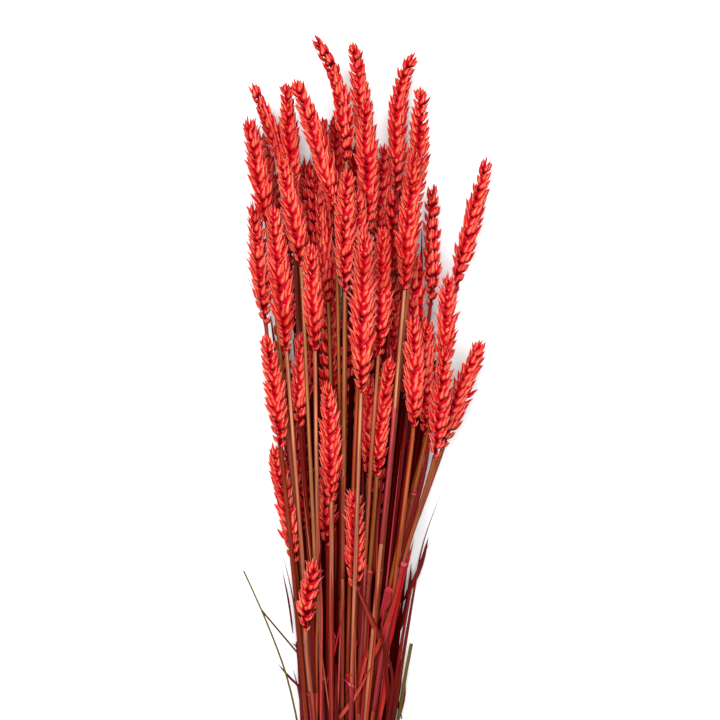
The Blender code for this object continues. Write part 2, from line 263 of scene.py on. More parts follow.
def finish_piece(name, bm, materials, nodes=()):
    """Makes the object of a piece, fixes it to the bunch and hides the solids it stands for."""
    mesh = bpy.data.meshes.new(name)
    bm.to_mesh(mesh)
    bm.free()
    for material in materials:
        mesh.materials.append(material)
    piece = bpy.data.objects.new(name, mesh)
    bpy.context.scene.collection.objects.link(piece)
    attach(piece, "root")
    if nodes:
        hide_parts(*nodes)
    return piece


# %% [markdown]
# ## Colour
# Dyed wheat has no single red. The dye pools at the edges of a husk and dries pale along its
# back, and a straw takes it up in streaks. Everything is mixed in the shader, from a few named
# dyes, so we start with a few small helpers: one reads a colour as it is written on a paint
# chart, one adds a node and sets or links its inputs, and the others add the commonest nodes.


# %% Shader helpers
def dye(chart):
    """A colour from its six-digit chart code, in the linear values that shaders use."""
    parts = [int(chart[k : k + 2], 16) / 255 for k in (0, 2, 4)]
    return tuple(((p + 0.055) / 1.055) ** 2.4 if p > 0.04045 else p / 12.92 for p in parts) + (1.0,)


def add(tree, kind, inputs=None, **settings):
    """Adds a node. An input is a value or another node's output."""
    made = tree.nodes.new(kind)
    for name, value in settings.items():
        setattr(made, name, value)
    for name, value in (inputs or {}).items():
        if isinstance(value, bpy.types.NodeSocket):
            tree.links.new(value, made.inputs[name])
        else:
            made.inputs[name].default_value = value
    return made


def number(tree, operation, first, second=0.0, clamp=False):
    made = add(tree, "ShaderNodeMath", {0: first, 1: second}, operation=operation, use_clamp=clamp)
    return made.outputs[0]


def times(tree, first, second):
    return number(tree, "MULTIPLY", first, second)


def spread(tree, value, low, high, to_low=0.0, to_high=1.0):
    """Maps a value smoothly from one range to another."""
    ranges = {"Value": value, "From Min": low, "From Max": high, "To Min": to_low, "To Max": to_high}
    return add(tree, "ShaderNodeMapRange", ranges, interpolation_type="SMOOTHSTEP").outputs["Result"]


def mixed(tree, share, first, second):
    return add(tree, "ShaderNodeMix", {0: share, 6: first, 7: second}, data_type="RGBA").outputs[2]


def noise(tree, place, scale, detail, roughness=0.5):
    values = {"Vector": place, "Scale": scale, "Detail": detail, "Roughness": roughness}
    return add(tree, "ShaderNodeTexNoise", values).outputs["Fac"]


def new_material(name, roughness, gloss=0.3):
    """A material with its tree and its surface shader, whose roughness and gloss are set."""
    material = bpy.data.materials.new(name)
    material.use_nodes = True
    surface = material.node_tree.nodes["Principled BSDF"]
    surface.inputs["Roughness"].default_value = roughness
    surface.inputs["Specular IOR Level"].default_value = gloss
    return material, material.node_tree, surface


# %% [markdown]
# Streaks are in every finish here, so they are one node group. It stretches two noises along
# the strand: a fine one for the fibres and a broad one for the way the dye has soaked in. It
# puts out both masks, and a height for the bump.


# %% Node group: fibres
def make_fibre_group():
    tree = bpy.data.node_groups.new("fibres", "ShaderNodeTree")
    face = tree.interface
    face.new_socket("Grain", in_out="INPUT", socket_type="NodeSocketVector")
    for name, value in (("Round Scale", 6.0), ("Along Scale", 30.0), ("Shift", 0.0)):
        face.new_socket(name, in_out="INPUT", socket_type="NodeSocketFloat").default_value = value
    for name in ("Fibre", "Soak", "Height"):
        face.new_socket(name, in_out="OUTPUT", socket_type="NodeSocketFloat")
    given = tree.nodes.new("NodeGroupInput").outputs
    around = given["Round Scale"]
    scale = add(tree, "ShaderNodeCombineXYZ", {0: around, 1: around, 2: given["Along Scale"]})
    place = given["Grain"]
    for operation, value in (("MULTIPLY", scale.outputs[0]), ("ADD", given["Shift"])):
        place = add(tree, "ShaderNodeVectorMath", {0: place, 1: value}, operation=operation).outputs[0]
    fibre = spread(tree, noise(tree, place, 1.0, 3.0, 0.6), 0.34, 0.66)
    soak = spread(tree, noise(tree, place, 0.28, 1.0), 0.36, 0.64)
    out = tree.nodes.new("NodeGroupOutput").inputs
    tree.links.new(fibre, out["Fibre"])
    tree.links.new(soak, out["Soak"])
    tree.links.new(times(tree, fibre, 0.8), out["Height"])
    return tree


FIBRES = make_fibre_group()


def fibres(tree, grain, round_scale, along_scale, shift):
    """Places the group in a material, on that material's own grain."""
    values = {"Grain": grain, "Round Scale": round_scale, "Along Scale": along_scale, "Shift": shift}
    return add(tree, "ShaderNodeGroup", values, node_tree=FIBRES).outputs


def attribute(tree, name):
    return add(tree, "ShaderNodeAttribute", attribute_name=name).outputs


def bumped(tree, surface, height, distance, strength=0.6):
    bump = add(tree, "ShaderNodeBump", {"Height": height, "Distance": distance, "Strength": strength})
    tree.links.new(bump.outputs["Normal"], surface.inputs["Normal"])


# %% [markdown]
# ## The husk finish
# A husk is coral along the middle of its back, where the dye is thin, and deepens to crimson at
# the margins. Pale fibres along its ridge are a painted highlight. Its tip is pink, and its foot,
# deep inside the ear, is darkened as painted shade. Each husk also has its own tint, because some
# lie further out and took more dye, round the tint of its ear, which is darker the lower its stalk
# lies: a painted shade. One mask and one dye make a layer, and the layers are laid over the body
# colour one by one, as a painter would.


# %% Material: dyed husks
def make_husk_material():
    material, tree, surface = new_material("dyed_husk", 0.5, gloss=0.01)
    grain = attribute(tree, "grain")["Vector"]
    husk = add(tree, "ShaderNodeSeparateXYZ", {0: grain}).outputs
    tint = attribute(tree, "tint")["Fac"]
    masks = fibres(tree, grain, 5.0, 2.2, times(tree, tint, 90.0))
    aside, along = number(tree, "ABSOLUTE", husk["X"]), husk["Z"]
    ridge = times(tree, spread(tree, aside, 0.6, 0.0), spread(tree, along, 0.12, 0.46))
    dried = times(tree, ridge, spread(tree, masks["Fibre"], 0.0, 1.0, 0.35, 1.0))
    painted_highlight = times(tree, ridge, times(tree, masks["Fibre"], 0.35))
    patches = noise(tree, add(tree, "ShaderNodeTexCoord").outputs["Object"], 26.0, 2.0)
    layers = {
        "dry back": (dried, mixed(tree, tint, dye("f4946a"), dye("d84c3c"))),
        # Painted highlight: pale fibres along the ridge of each husk's back.
        "painted highlight fibres": (painted_highlight, dye("f8ac88")),
        "margins": (spread(tree, aside, 0.2, 0.75), dye("b0061e")),
        "tip": (spread(tree, along, 0.8, 1.0, 0.0, 0.45), dye("f88c98")),
        "soaked streaks": (times(tree, masks["Soak"], 0.35), dye("b40814")),
        # Painted shade: the lower part of each husk, where its neighbours cover it, is darkened.
        "painted shade at foot": (spread(tree, along, 0.45, 0.0, 0.0, 0.95), dye("400002")),
        "dark patches": (spread(tree, patches, 0.48, 0.68, 0.0, 0.45), dye("980208")),
    }
    colour = mixed(tree, tint, dye("d41a1c"), dye("b80a14"))
    for mask, over in layers.values():
        colour = mixed(tree, mask, colour, over)
    tree.links.new(colour, surface.inputs["Base Color"])
    tree.links.new(spread(tree, masks["Fibre"], 0.0, 1.0, 0.60, 0.42), surface.inputs["Roughness"])
    bumped(tree, surface, masks["Height"], 0.3 * MM)
    return material


husk_finish = make_husk_material()

# %% [markdown]
# ## The straw finish
# Straw is ribbed, and no two straws take the dye alike: dark red, orange brown, salmon, and now
# and then an olive one where the plant shows through. So a straw's tint picks its colour from a
# row of dyes, from the darkest to the palest. The dye also soaks in unevenly along the straw. Each
# strand is darker towards its lower end, partly from soaked dye and partly as painted shade, and
# a straw's sides and underside, away from the lamp, are darkened as painted shade. The sheaths are
# pinker, and what lies deep in the bunch is coloured nearly black as painted shade.


# %% Materials: straw, sheath and leaf
STRAW_DYES = ("500604", "701008", "902010", "844020", "b45028", "8c6c2c", "bc6844", "c08c50", "cc8660")
SHEATH_DYES = ("500608", "7c0e10", "94281c", "9c5430", "b4583c", "b84446")
TORN_DYES = ("8c1214", "b03428", "b8543c", "941a1c", "b05c3c", "ec6070")
LEAF_DYES = ("740806", "941410", "a82816", "800c0c", "b44022")
# Nearly black colours: painted shade for what lies deep in the bunch.
SHADE_DYES = ("340303", "500505", "6c0a05", "400404")
UNDYED_DYES = ("80802a", "6e7024", "8c742e")


def tint_ramp(tree, tint, charts):
    """A colour picked by a tint from a row of dyes."""
    ramp = add(tree, "ShaderNodeValToRGB", {"Fac": tint})
    stops = ramp.color_ramp.elements
    while len(stops) < len(charts):
        stops.new(0.5)
    for k, (stop, chart) in enumerate(zip(stops, charts)):
        stop.position = k / (len(charts) - 1)
        stop.color = dye(chart)
    return ramp.outputs["Color"]


def make_strand_material(name, charts, soaked, roughness, flank_shade=0.0, flank_shade_dye="6c0a06", gloss=0.06):
    """A finish whose tint picks its dye; flank_shade says how strongly a strand is darkened away from
    its upper side, a painted shade.
    """
    material, tree, surface = new_material(name, roughness, gloss)
    grain = attribute(tree, "grain")["Vector"]
    tint = attribute(tree, "tint")["Fac"]
    place = add(tree, "ShaderNodeSeparateXYZ", {0: grain}).outputs
    along = place["Z"]
    # Painted shade: a straw's grain X points up, so all but its upper side is darkened towards the
    # flank dye.
    side = times(tree, spread(tree, place["X"], 0.98, 0.40), flank_shade)
    masks = fibres(tree, grain, 1.9, 24.0, times(tree, tint, 70.0))
    body = mixed(tree, side, tint_ramp(tree, tint, charts), dye(flank_shade_dye))
    # Darker towards the lower end of each strand: partly soaked dye, partly painted shade.
    lower_end_shade = spread(tree, along, 0.40, 0.18, 0.0, 0.5)
    depth = number(tree, "ADD", lower_end_shade, times(tree, masks["Soak"], 0.4), clamp=True)
    stained = mixed(tree, depth, body, dye(soaked))
    streaks = times(tree, masks["Fibre"], 0.62)
    tree.links.new(mixed(tree, streaks, stained, dye(soaked)), surface.inputs["Base Color"])
    low, high = roughness - 0.08, roughness + 0.12
    tree.links.new(spread(tree, masks["Soak"], 0.0, 1.0, low, high), surface.inputs["Roughness"])
    bumped(tree, surface, masks["Height"], 0.18 * MM)
    return material


straw_finish = make_strand_material("dyed_straw", STRAW_DYES, "600c06", 0.40, flank_shade=0.9)
sheath_finish = make_strand_material(
    "dyed_sheath", SHEATH_DYES, "540608", 0.50, flank_shade=0.8, flank_shade_dye="740a10"
)
torn_finish = make_strand_material("torn_sheath", TORN_DYES, "8c1014", 0.50)
pale_finish = make_strand_material("pale_strip", STRAW_DYES, "8c1c10", 0.50)
leaf_finish = make_strand_material("dyed_leaf", LEAF_DYES, "3c0404", 0.55)
# Painted shade: the finish of what lies deep in the bunch, nearly black.
painted_shade_finish = make_strand_material(
    "painted_shade_deep", SHADE_DYES, "1c0101", 0.7, flank_shade=0.5, flank_shade_dye="380202", gloss=0.0
)
undyed_finish = make_strand_material("undyed_leaf", UNDYED_DYES, "4a2410", 0.5)

# %% [markdown]
# ## One husk
# A wheat spikelet is a handful of boat-shaped husks: two glumes outside and the florets
# between them, each closed round its grain. A husk has a keel down its back, is hollowed a
# little inside, swells in its lower half and draws out to a point that bends outwards. So it is
# a swept ring that is pointed at the back and flat at the front. Six sides and six levels are
# enough, because there are thousands of husks.


# %% Husk templates
HUSK_SIDES = 6

# Each level of a husk: share of its length, half its width, half its depth, and how far its
# middle stands out, all against its length.
LEMMA = (
    (0.00, 0.110, 0.070, 0.000),
    (0.16, 0.215, 0.140, 0.035),
    (0.38, 0.265, 0.165, 0.055),
    (0.60, 0.215, 0.135, 0.048),
    (0.80, 0.110, 0.082, 0.045),
    (0.99, 0.014, 0.014, 0.068),
)
AWNED_LEMMA = LEMMA[:5] + ((1.19, 0.011, 0.011, 0.120),)
GLUME = (
    (0.00, 0.120, 0.065, 0.000),
    (0.16, 0.230, 0.130, 0.030),
    (0.38, 0.280, 0.150, 0.045),
    (0.60, 0.230, 0.125, 0.038),
    (0.81, 0.115, 0.080, 0.037),
    (0.98, 0.016, 0.016, 0.062),
)

# The six corners of a husk's section, each given by its angle: keel, shoulders, margins, belly.
SECTION = {
    90: (0.0, 1.2), 30: (0.72, 0.62), 150: (-0.72, 0.62),
    330: (1.0, -0.1), 210: (-1.0, -0.1), 270: (0.0, -0.4),
}
CORNER_TURN = 360 // HUSK_SIDES


def boat_section(ring, grain):
    """Turns a circle into a husk's section: keeled at +Y, almost flat at -Y."""
    for vertex in ring:
        corner = round(math.degrees(math.atan2(vertex.co.y, vertex.co.x)) / CORNER_TURN)
        vertex[grain] = (*SECTION[(corner * CORNER_TURN + 30) % 360], 0.0)


def make_husk(name, levels):
    """A husk of length 1 on the origin, along +Z, with creased margins and its keel at +Y."""
    bm = bmesh.new()
    stations = [
        Matrix.Translation((0, out, along)) @ Matrix.Diagonal((wide, deep, 1, 1))
        for along, wide, deep, out in levels
    ]
    sweep(bm, stations, [level[0] for level in levels], sides=HUSK_SIDES, shape=boat_section)
    grain = bm.verts.layers.float_vector["grain"]
    for edge in bm.edges:
        first, second = (vertex[grain] for vertex in edge.verts)
        lengthwise = first.z != second.z
        edge.smooth = not (lengthwise and (first.y > 1.0 or abs(first.x) > 0.9))
    mesh = bpy.data.meshes.new(name)
    bm.to_mesh(mesh)
    bm.free()
    print(name, len(mesh.polygons), "faces")
    return mesh


husks = {"lemma": make_husk("lemma", LEMMA), "awned": make_husk("awned", AWNED_LEMMA)}
husks["glume"] = make_husk("glume", GLUME)

# %% [markdown]
# ## One spikelet
# The husks of a spikelet spread like a hand: glumes low and to the sides, then the two large
# florets, and two smaller ones between them, higher up. Placing each by a matrix of its own
# lets us open, turn and shrink them a little at random, as no two real spikelets are the same.


# %% Spikelet
HUSK_LENGTH = 10.0 * MM

# Each husk of a spikelet: its template, length, place to the side, place outwards, height (all
# in millimetres at full size), then its lean outwards, its splay to the side and the turn of
# its keel, in degrees.
SPIKELET = (
    ("glume", 0.94, 2.2, -0.5, 0.0, 24, 5, 56),
    ("glume", 0.94, -2.2, -0.5, 0.0, 24, -5, -56),
    ("lemma", 1.00, 1.4, 0.7, 1.2, 26, 7, 34),
    ("lemma", 1.00, -1.4, 0.7, 1.2, 26, -7, -34),
    ("lemma", 0.92, 0.4, 1.0, 2.6, 29, 3, 8),
    ("lemma", 0.88, -0.5, -0.5, 2.8, 10, -5, -10),
)
TOP_SPIKELET = (
    ("glume", 0.62, 1.2, 0.3, 0.0, 6, 13, 74),
    ("glume", 0.62, -1.2, 0.3, 0.0, 6, -13, -74),
    ("lemma", 0.74, 0.4, 0.8, 0.6, 9, 5, 10),
    ("lemma", 0.70, -0.4, -0.8, 0.8, -9, -5, 170),
    ("lemma", 0.72, 0.0, 0.1, 2.2, 0, 0, 30),
)
FULL_REACH = 7.9 * MM
ANGLE_WOBBLE = 4.5
TINT_WOBBLE = 0.22


def varied(middle, amount):
    """A tint near a middle one."""
    return min(max(middle + rng.normal(0, amount), 0.0), 1.0)


def add_husk(bm, template, matrix, tint):
    """Adds one husk to an ear, with its own tint."""
    copy = template.copy()
    copy.transform(matrix)
    copy.attributes["tint"].data.foreach_set("value", [tint] * len(copy.vertices))
    bm.from_mesh(copy)
    bpy.data.meshes.remove(copy)


def add_spikelet(bm, station, size, opening, broad, awned, tint, husk_rows):
    """Adds a spikelet at a station: local Z up the ear, local Y outwards."""
    for kind, length, aside, out, up, lean, splay, turn in husk_rows:
        kind = "awned" if awned and kind == "lemma" else kind
        long = HUSK_LENGTH * length * size * rng.uniform(0.9, 1.1)
        lean, splay = (angle * opening + rng.normal(0, ANGLE_WOBBLE) for angle in (lean, splay))
        pose = (
            Matrix.Translation(Vector((aside, out, up)) * MM * size)
            @ Matrix.Rotation(math.radians(-lean), 4, "X")
            @ Matrix.Rotation(math.radians(splay), 4, "Y")
            @ Matrix.Rotation(math.radians(-turn), 4, "Z")
            @ Matrix.Diagonal((long * broad, long * broad, long, 1))
        )
        add_husk(bm, husks[kind], station @ pose, varied(tint, TINT_WOBBLE))


# %% [markdown]
# ## An ear
# Spikelets sit on a zigzag stem, left and right in turn. They are dwarfed at the neck, full
# from a quarter of the way up, and smaller again at the top, where one last spikelet stands
# upright. A plump ear has its spikelets close together. A slender ear is a loose one: it has
# husks of nearly the same size, but fewer of them, more upright and further apart.
#
# The higher a stalk lies in the bunch, the lighter its ear, its straw and its sheaths are coloured:
# the darker colour of what lies deep is painted shade.


# %% Ears
DENSE_STEP = 2.6 * MM
LOOSE_STEP = 3.8 * MM
LOOSE_PLUMPNESS = 0.80
DENSE_PLUMPNESS = 1.04
TOP_ROOM = 8.0 * MM
TOP_SINK = 1.5 * MM
STEM_RADIUS, STEM_SINK, STEM_STEP = 0.8 * MM, 3 * MM, 4 * MM
ZIGZAG = 0.2 * MM
OPENINGS = (1.12, 1.1, 0.95)
LOOSE_BREADTH = 0.3
ROW_WOBBLE = 8

# Past this looseness a spikelet has only four or five of its six husks.
SPARSE_FROM = 0.4

# Where along an ear its husks begin to have short awns, and how often that is so. Past 1 is
# nowhere.
AWNED_FROM = (0.3, 0.6, 2.0)
AWNED_ODDS = (0.06, 0.14, 0.80)

# How high each stalk lies, halfway up its straw: 0 for the lowest and 1 for the highest. It sets the
# painted shade of the lower stalks.
by_height = sorted(stalks, key=lambda stalk: stalk.line.at(0.5 * (tie_middle.y + stalk.neck)).z)
shade_by_height = {stalk.node: k / (len(stalks) - 1) for k, stalk in enumerate(by_height)}


def ear_size(share):
    """Size of a spikelet against the largest, from the neck (0) to the tip (1)."""
    rise = 0.45 + 0.55 * min(share / 0.24, 1.0) ** 0.8
    return rise * (1.0 - 0.36 * max(0.0, (share - 0.5) / 0.5) ** 1.4)


def add_zigzag_stem(bm, stalk, top, tint):
    """The thin stem that carries the spikelets."""
    heights = np.arange(stalk.neck - STEM_SINK, top, STEM_STEP)
    sides = [stalk.rows * ZIGZAG * (1 if k % 2 else -1) for k in range(len(heights))]
    stations = [
        upright(stalk.line.at(h) + side, stalk.line.heading(h), UP, STEM_RADIUS)
        for h, side in zip(heights, sides)
    ]
    sweep(bm, stations, [0.1] * len(stations), sides=6, tint=tint)


def grow_ear(stalk, ear_tint, step_share=1.0):
    """The husks and the stem of one ear, as a bmesh."""
    bm = bmesh.new()
    plump = stalk.reach / FULL_REACH
    loose = min(max((DENSE_PLUMPNESS - plump) / (DENSE_PLUMPNESS - LOOSE_PLUMPNESS), 0.0), 1.0)
    step = (DENSE_STEP + (LOOSE_STEP - DENSE_STEP) * loose) * rng.uniform(0.96, 1.06) * step_share
    length = stalk.tip - stalk.neck - TOP_ROOM
    count = int(round(length / step))
    opening = float(np.interp(loose, [0, 0.5, 1], OPENINGS)) * rng.uniform(0.9, 1.1)
    broad = 1.0 + LOOSE_BREADTH * loose
    largest = 0.35 + 0.65 * plump
    awned_from = rng.choice(AWNED_FROM, p=AWNED_ODDS)
    add_zigzag_stem(bm, stalk, stalk.neck + length, ear_tint)
    for k in range(count):
        share = k / count
        height = stalk.neck + length * share
        out = stalk.rows * (1 if k % 2 else -1)
        heading = stalk.line.heading(height)
        size = largest * ear_size(share) * rng.uniform(0.92, 1.08)
        spin = Matrix.Rotation(math.radians(rng.normal(0, ROW_WOBBLE)), 4, "Z")
        station = upright(stalk.line.at(height) + out * ZIGZAG, heading, out.cross(heading)) @ spin
        husk_rows = SPIKELET if loose < SPARSE_FROM else SPIKELET[: 4 + k % 2]
        open_here = opening * (1.08 - 0.25 * share)
        add_spikelet(bm, station, size, open_here, broad, share > awned_from, ear_tint, husk_rows)
    end = stalk.line.at(stalk.neck + length - TOP_SINK)
    top = upright(end, stalk.line.heading(stalk.tip), stalk.rows)
    add_spikelet(bm, top, largest, 1.0, broad, awned_from < 1.0, ear_tint, TOP_SPIKELET)
    return bm


def make_ear(stalk):
    name = stalk.node.replace("wheat_stalk", "ear")
    # Painted shade: the lower its stalk lies in the bunch, the darker its ear is coloured.
    ear_tint = varied(0.75 - 0.65 * shade_by_height[stalk.node], 0.1)
    return finish_piece(name, grow_ear(stalk, ear_tint), [husk_finish], [stalk.node])


ears = [make_ear(stalk) for stalk in stalks]
print(sum(len(ear.data.polygons) for ear in ears), "faces in", len(ears), "ears")

# %% [markdown]
# ## A straw
# The straw runs up from its cut end to the ear, and is hollow where it was cut. Above the tie
# it is wrapped in leaf sheaths. Each sheath ends in a slanting, slightly open mouth, where the
# dry stub of its leaf still stands off, and the straw swells at the joint below it. All of these
# are swept rings whose stations may double back: the straw's first stations lie inside the cut
# end, and the sheath's last ones turn in over its rim.

# %% Straws
STRAW_SIDES = 10
STRAND_STEP = 8 * MM
CUT_DEPTH, CUT_RIM = 7 * MM, 0.15 * MM
NECK_SINK = 2 * MM
STRAW_VARIETY = 0.25
TIED_SHARE = 0.80
FREE_SHARE = 0.92
FREE_FROM, FREE_TO = 12 * MM, 60 * MM
JOINT_HALF, JOINT_BULGE = 2.5 * MM, 0.12
BORE_SHARE = 0.72
SHEATH_ROOM, SHEATH_WALL = 1.03, 0.02
SHEATH_LENGTHS = (60, 130)
SHEATH_START = 6 * MM
MOUTH_FLARE, MOUTH_REACH, MOUTH_DEPTH = 0.3, 3 * MM, 5 * MM
LIP_LEVELS = (9 * MM, 6 * MM, 3 * MM)
LIP_ALONG = (0.42, 0.43, 0.44, 0.45, 0.46, 0.47)

# A leaf stub: shares of its length, and its width there against its widest.
STUB_WIDTHS = ((0, 0.7), (0.22, 1.0), (0.45, 0.85), (0.7, 0.5), (0.88, 0.24), (1, 0.03))
STUB_BEND = (12, 74)
STUB_CURL = 1.1
STUB_SINK = 2 * MM


def drawn_share(height):
    """The straw's own width against its solid's, which leaves room for the sheaths."""
    return float(np.interp(height - tie_middle.y, [FREE_FROM, FREE_TO], [TIED_SHARE, FREE_SHARE]))


def strand_stations(line, radius_at, low, high):
    """Stations and distances along a strand between two heights."""
    heights = np.linspace(low, high, max(3, int((high - low) / STRAND_STEP)))
    stations = [upright(line.at(h), line.heading(h), UP, radius_at(h)) for h in heights]
    return stations, [float(h - line.low) for h in heights]


def add_straw(bm, line, radius_at, low, top, tint):
    """A straw from inside its cut end to its top."""
    stations, alongs = strand_stations(line, radius_at, low, top)
    bore = [
        upright(line.at(low + depth), line.heading(low), UP, BORE_SHARE * radius_at(low))
        for depth in (CUT_DEPTH, CUT_RIM)
    ]
    sweep(bm, bore + stations, [0.0, 0.0] + alongs, sides=STRAW_SIDES, tint=tint)


def slanted(station, lean, slant):
    """A station whose ring is cut at a slant towards the angle lean."""
    turn = Matrix.Rotation(lean, 4, "Z")
    slope = Matrix.Identity(4)
    slope[2][0] = slant
    return station @ turn @ slope @ turn.inverted()


def add_sheath(bm, stalk, low, mouth, lean, slant, tint, lipped):
    """A leaf sheath round the straw, with a slanting mouth that stands open a little."""

    def radius_at(height):
        flare = 1.0 + MOUTH_FLARE * math.exp(-(((height - mouth) / MOUTH_REACH) ** 2))
        start = min(1.0, (height - low) / SHEATH_START)
        share = drawn_share(height) + SHEATH_WALL
        return stalk.straw_radius(height) * (share + (SHEATH_ROOM - share) * start) * flare

    stations, alongs = strand_stations(stalk.line, radius_at, low, mouth)
    rim = slanted(stations[-1], lean, slant)
    throat = drawn_share(mouth) * 0.98 * stalk.straw_radius(mouth)
    heading = stalk.line.heading(mouth)
    inner = upright(stalk.line.at(mouth - MOUTH_DEPTH), heading, UP, throat)
    stations = stations[:-1] + [rim, rim @ Matrix.Scale(0.88, 4), inner]
    sweep(bm, stations, alongs + [alongs[-1]] * 2, sides=STRAW_SIDES, tint=tint)
    if not lipped:
        return
    heights = [mouth - depth for depth in LIP_LEVELS]
    lip = [upright(stalk.line.at(h), heading, UP, radius_at(h) * 1.04) for h in heights]
    lip += [slanted(lip[-1], lean, slant), rim @ Matrix.Scale(1.05, 4), rim @ Matrix.Scale(0.9, 4)]
    sweep(bm, lip, LIP_ALONG, sides=STRAW_SIDES, tint=1.0)


def add_leaf_stub(bm, stalk, mouth, lean, length, tint):
    """The torn stub of a leaf at a sheath's mouth: a short blade that bends away and curls."""
    heading = stalk.line.heading(mouth)
    around = upright(stalk.line.at(mouth), heading, UP) @ Matrix.Rotation(lean, 4, "Z")
    out, side = around.col[0].xyz, around.col[1].xyz
    start = stalk.line.at(mouth - STUB_SINK) + out * stalk.straw_radius(mouth) * 0.9
    half = stalk.straw_radius(mouth) * (0.9 + 0.09 * length / MM)
    stations = []
    for share, width in STUB_WIDTHS:
        bend = math.radians(STUB_BEND[0] + (STUB_BEND[1] - STUB_BEND[0]) * share)
        way = heading * math.cos(bend) + out * math.sin(bend)
        curl = side * math.cos(STUB_CURL * share) + out.cross(way) * math.sin(STUB_CURL * share)
        point = start + (heading * math.sin(0.9 * share) + out * (0.75 * share**2 + 0.05)) * length
        stations.append(upright(point, way, curl, half * width))
    alongs = [0.3 + 0.1 * k for k in range(len(stations))]
    sweep(bm, stations, alongs, sides=8, tint=tint, shape=flat_section)


# %% [markdown]
# Most sheath mouths are anywhere along the straw, but the pink ones low in the bunch catch the
# eye, so they are placed: each place below goes to the straw that lies uppermost there.

# %% Sheath mouths
# Each mouth: across and along from the middle of the tie, and the length of its leaf stub.
PLACED_MOUTHS = (
    (28, 232, 9), (21, 248, 4), (10, 203, 3), (-10, 179, 3), (30, 188, 4), (41, 226, 5),
    (38, 253, 6), (-13, 249, 4), (44, 297, 3), (4, 176, 7),
)
NECK_ROOM = 15 * MM
ASIDE_ROOM, ASIDE_COST = 1.5 * MM, 12
MOUTH_FROM, MOUTH_ROOM = 30 * MM, 40 * MM
STUB_LENGTHS = (0, 2, 3, 5)


def uppermost_stalk(across, height):
    """The stalk whose straw lies on top at a place and has no mouth yet."""

    def rank(stalk):
        if stalk.node in mouths or not stalk.low < height < stalk.neck - NECK_ROOM:
            return -1.0
        point = stalk.line.at(height)
        return point.z - ASIDE_COST * max(0.0, abs(point.x - across) - ASIDE_ROOM)

    return max(stalks, key=rank)


mouths = {}
for across_tie, along_tie, stub in PLACED_MOUTHS:
    height = tie_middle.y + along_tie * MM
    stalk = uppermost_stalk(tie_middle.x + across_tie * MM, height)
    mouths.setdefault(stalk.node, []).append((height, stub * MM))
placed = set(mouths)
for stalk in stalks:
    if stalk.node not in mouths:
        free = stalk.neck - tie_middle.y - MOUTH_ROOM
        height = tie_middle.y + MOUTH_FROM + rng.uniform(0.15, 0.85) * free
        mouths[stalk.node] = [(height, rng.choice(STUB_LENGTHS) * MM)]
print(len(mouths), "straws have a sheath")


def make_straw(stalk):
    bm, sheath, torn = bmesh.new(), bmesh.new(), bmesh.new()
    seats = mouths[stalk.node]
    lows = [mouth - rng.uniform(*SHEATH_LENGTHS) * MM for mouth, _ in seats]
    lows = [max(low, tie_middle.y + FREE_FROM) for low in lows]

    def radius_at(height):
        bulge = sum(JOINT_BULGE * math.exp(-(((height - low) / JOINT_HALF) ** 2)) for low in lows)
        return drawn_share(height) * stalk.straw_radius(height) * (1.0 + bulge)

    # Painted shade: the lower the stalk lies, the darker its straw.
    tint = varied(shade_by_height[stalk.node], STRAW_VARIETY)
    add_straw(bm, stalk.line, radius_at, stalk.low, stalk.neck + NECK_SINK, tint)
    for low, (mouth, stub) in zip(lows, seats):
        # Painted shade: the sheath too is darker the lower its stalk lies.
        lean, tint = rng.uniform(0, math.tau), varied(0.9 * shade_by_height[stalk.node], STRAW_VARIETY)
        add_sheath(sheath, stalk, low, mouth, lean, rng.uniform(0.4, 1.4), tint, stalk.node in placed)
        if stub:
            add_leaf_stub(torn, stalk, mouth, lean, stub, 1.0)
    for k, part in ((1, sheath), (2, torn)):
        for face in part.faces:
            face.material_index = k
        add_part(bm, part)
    name = stalk.node.replace("wheat_stalk", "straw")
    finishes = [straw_finish, sheath_finish, torn_finish]
    return finish_piece(name, bm, finishes, [stalk.node])


straws = [make_straw(stalk) for stalk in stalks]
print(sum(len(straw.data.polygons) for straw in straws), "faces in", len(straws), "straws")

# %% [markdown]
# ## Bare straws
# Two straws have lost their ears. One is thick and still yellow green. The other is a thin
# split one that stands off the bunch on the left, with a finer strand going back from its fork.


# %% Bare straws
FORK_RADIUS = 0.6 * MM


class Strip:
    """The line of a bare straw or a leaf strip, and how wide its solid is."""

    def __init__(self, node):
        rings = rings_of(node)
        middles = [ring.mean(0) for ring in rings]
        self.line = Line(middles, rounds=3)
        self.half = reach_of(across(rings[0], middles[0]))


def from_tie(across_tie, along_tie, up):
    return tie_middle + Vector((across_tie, along_tie, up)) * MM


def make_bare_straw(node, top_share, fork=None):
    strip, bm = Strip(node), bmesh.new()
    line = strip.line

    def radius_at(height):
        share = (height - line.low) / (line.high - line.low)
        return strip.half * float(np.interp(share, [0.5, 1.0], [0.9, top_share]))

    add_straw(bm, line, radius_at, line.low, line.high, 0.1)
    if fork:
        start, end = (from_tie(*place) for place in fork)
        start = line.at(start.y)
        split = Line([end, 0.5 * (start + end) + Vector((0, 0, MM)), start], rounds=2)
        stations, alongs = strand_stations(split, lambda height: FORK_RADIUS, split.low, split.high)
        sweep(bm, stations, alongs, sides=6, tint=0.6)
    return finish_piece(node + "_dressed", bm, [undyed_finish], [node])


split_straw = make_bare_straw("bare_straw_1", 0.6, fork=((-48, 221, 0), (-26, 192, 14)))
thick_straw = make_bare_straw("bare_straw_2", 0.95)
print("bare straws:", split_straw.name, thick_straw.name)

# %% [markdown]
# ## Dry leaf strips
# A dry leaf is a ribbon that narrows to a point, and it twists as it dries. It is the same
# sweep as a straw with a flat section, and its stations turn slowly round the line.

# %% Leaf strips
LEAF_TURN = 0.3
LEAF_SPREAD = 1.5
LEAF_SIDES = 8

